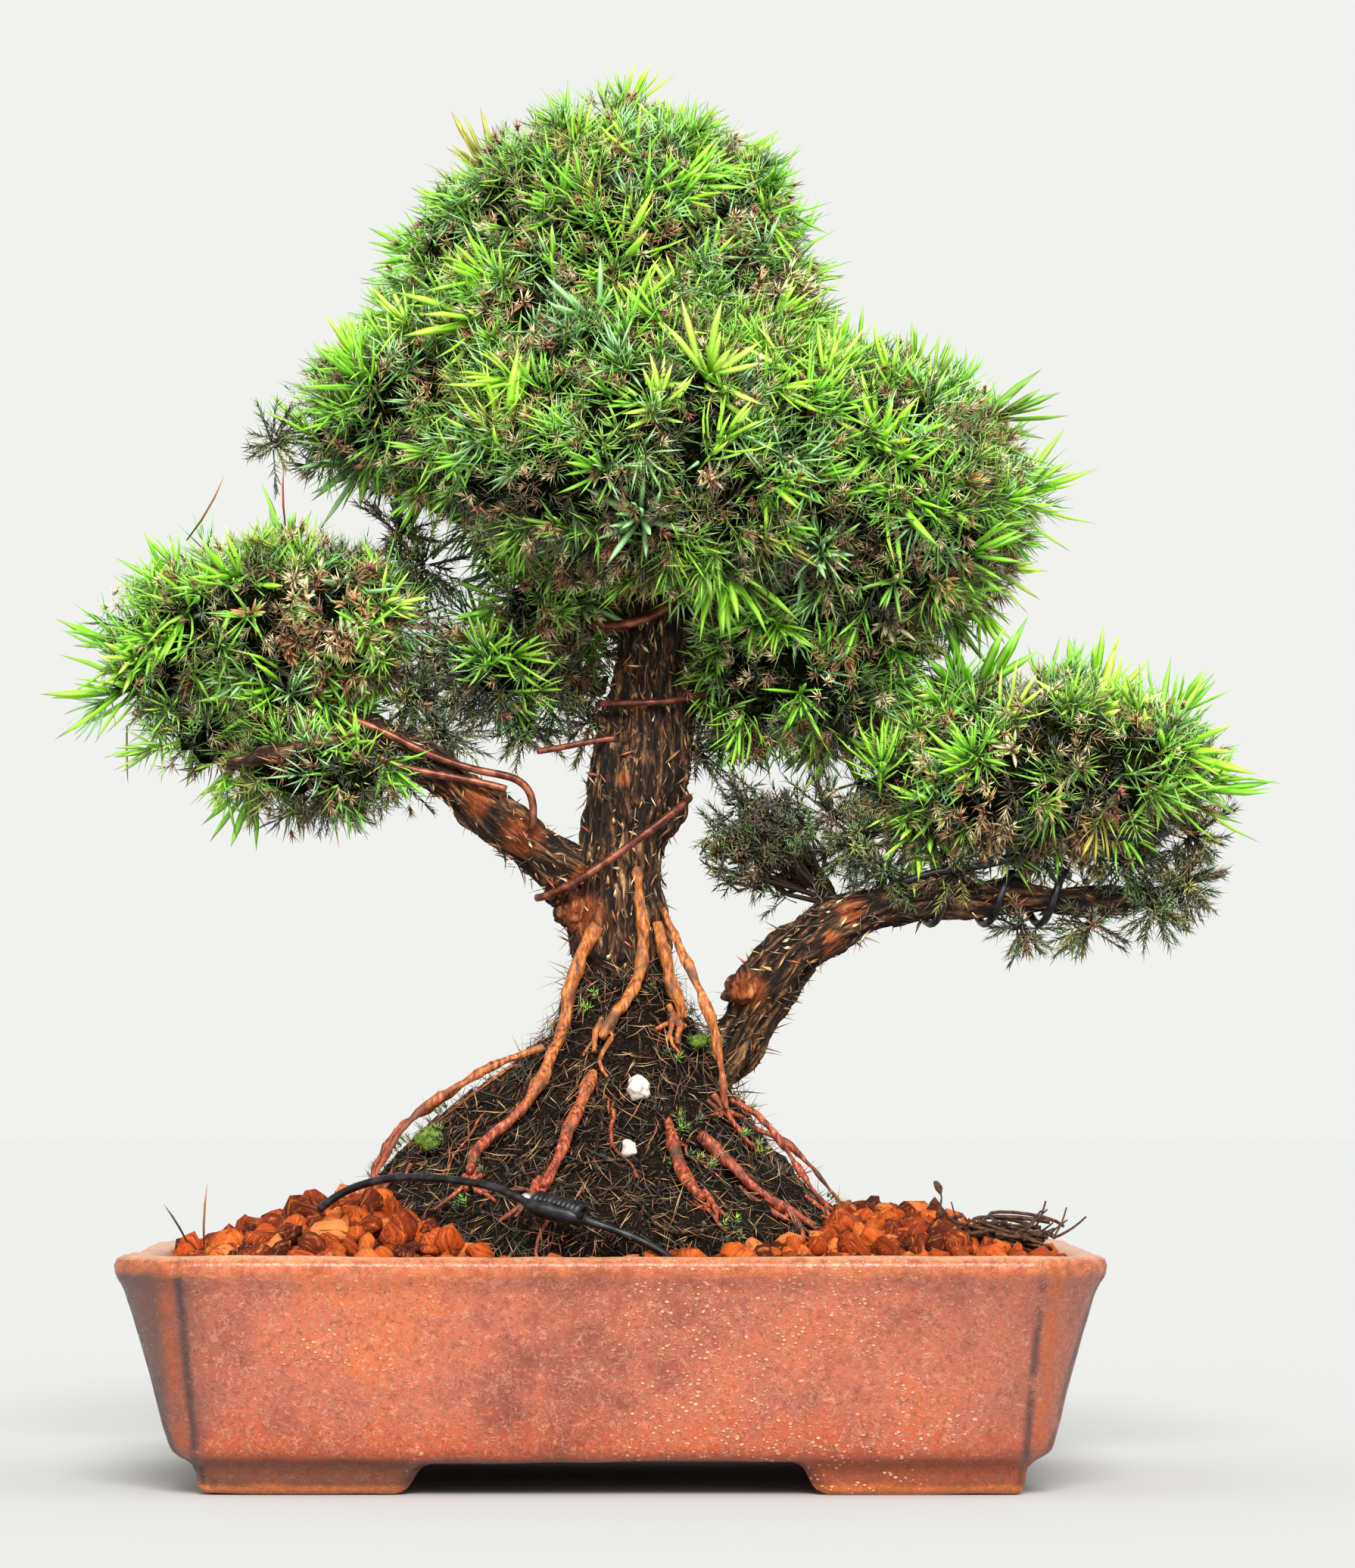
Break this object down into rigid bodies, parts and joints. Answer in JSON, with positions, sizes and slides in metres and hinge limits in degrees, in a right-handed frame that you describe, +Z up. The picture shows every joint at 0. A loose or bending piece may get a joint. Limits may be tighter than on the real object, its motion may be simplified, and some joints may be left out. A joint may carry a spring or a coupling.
{
  "type": "bonsai tree in a pot",
  "caption": "Small cedar bonsai with a domed crown and two lower foliage pads, on exposed roots over a soil mound, in a low rectangular glazed pot with bracket feet.",
  "frame": {"origin": "on the surface the pot stands on, under the middle of the whole object's box", "axes": "+X to the right along the pot's long side as seen from the front, +Y from the front to the back, +Z up the tree"},
  "size_m": [0.2082, 0.1244, 0.2449],
  "materials": {
    "glaze": "satin",
    "drain_mesh": "matte",
    "soil": "matte",
    "mound": "matte",
    "gravel": "matte",
    "moss": "matte",
    "perlite": "matte",
    "dry_litter": "matte",
    "root": "satin",
    "bark": "matte",
    "brown_wire": "satin",
    "black_wire": "satin",
    "foliage": "matte"
  },
  "bodies": {
    "root": {"crown_back": "foliage", "crown_branch_back": "bark", "crown_branch_front": "bark", "crown_branch_left": "bark", "crown_branch_right": "bark", "crown_front": "foliage", "crown_left": "foliage", "crown_right": "foliage", "crown_top": "foliage", "drain_mesh_left": "drain_mesh", "drain_mesh_right": "drain_mesh", "dry_clump": "dry_litter", "dry_twig": "dry_litter", "gravel": "gravel", "left_branch": "bark", "left_pad": "foliage", "left_pad_lower": "foliage", "left_pad_tip": "foliage", "left_side_branch": "bark", "moss_1": "moss", "moss_2": "moss", "mound": "mound", "perlite_1": "perlite", "perlite_2": "perlite", "pot": "glaze", "right_branch": "bark", "right_inner_branch": "bark", "right_pad": "foliage", "right_pad_inner": "foliage", "root_back_left": "root", "root_back_middle": "root", "root_back_right": "root", "root_free_left_1": "root", "root_free_left_2": "root", "root_free_right": "root", "root_free_right_1": "root", "root_free_right_2": "root", "root_left_main": "root", "root_middle_lower": "root", "root_middle_upper": "root", "root_right_front": "root", "root_right_side": "root", "root_right_upper": "root", "skirt_branch_left": "bark", "skirt_branch_right": "bark", "skirt_left": "foliage", "skirt_right": "foliage", "soil": "soil", "tie_wire": "black_wire", "trunk": "bark", "wire_crown_arc": "brown_wire", "wire_left_lower": "brown_wire", "wire_left_upper": "brown_wire", "wire_right_coil": "black_wire", "wire_right_outer": "black_wire", "wire_right_top": "black_wire", "wire_trunk_diagonal": "brown_wire", "wire_trunk_ring": "brown_wire", "wire_trunk_stub": "brown_wire"}
  },
  "joints": []
}
